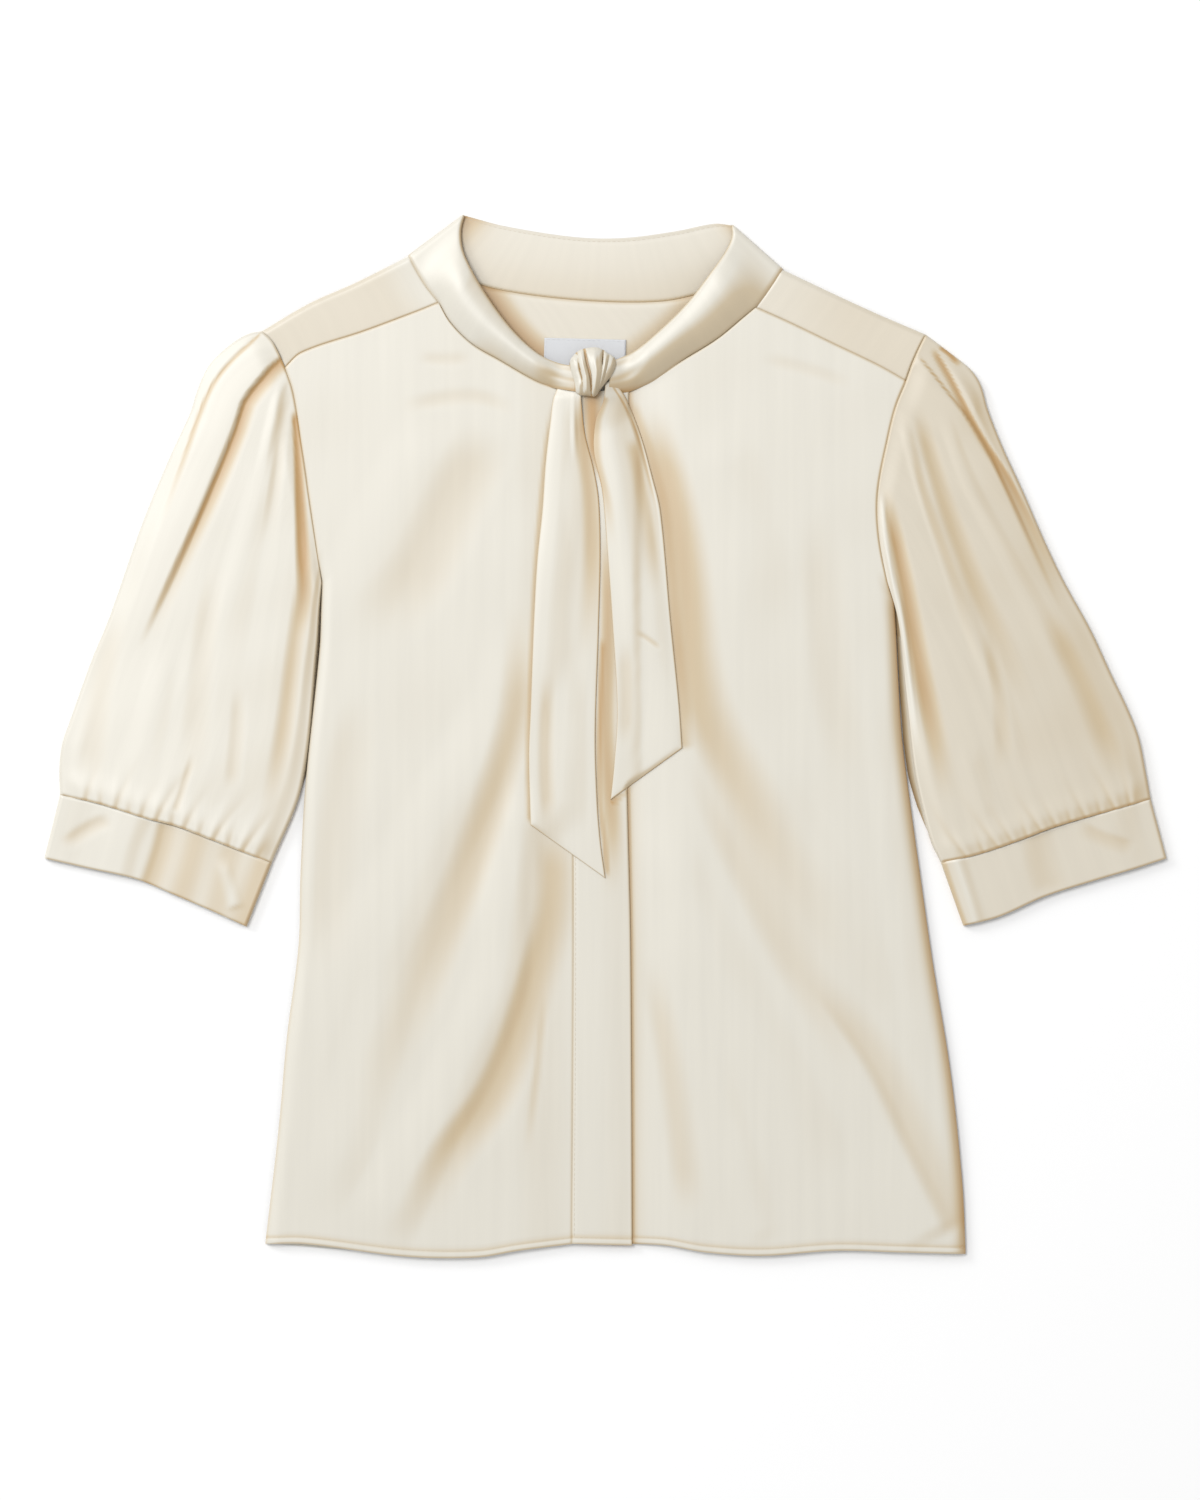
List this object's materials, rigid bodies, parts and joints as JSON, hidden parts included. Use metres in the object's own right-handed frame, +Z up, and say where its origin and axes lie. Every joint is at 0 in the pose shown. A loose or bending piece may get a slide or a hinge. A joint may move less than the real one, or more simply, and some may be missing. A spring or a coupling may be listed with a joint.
{
  "type": "blouse",
  "caption": "Cream satin blouse with a tied neckband, hidden placket and puffed, cuffed elbow sleeves, laid flat.",
  "frame": {"origin": "middle of the outline of the laid-out blouse, on the surface it lies on", "axes": "+X towards the wearer's left sleeve, along the longest side; +Y from the hem towards the neck; +Z up, out of the blouse's front"},
  "size_m": [0.673, 0.6249, 0.0191],
  "materials": {
    "satin": "warm cream satin with a soft sheen",
    "label": "matte pale grey woven tape"
  },
  "bodies": {
    "root": {"back": "satin", "yoke": "satin", "front_right": "satin", "front_left": "satin", "placket": "satin", "sleeve_right": "satin", "sleeve_left": "satin", "cuff_right": "satin", "cuff_left": "satin", "neckband": "satin", "tie_right": "satin", "tie_left": "satin", "knot": "satin", "label": "label"}
  },
  "joints": []
}
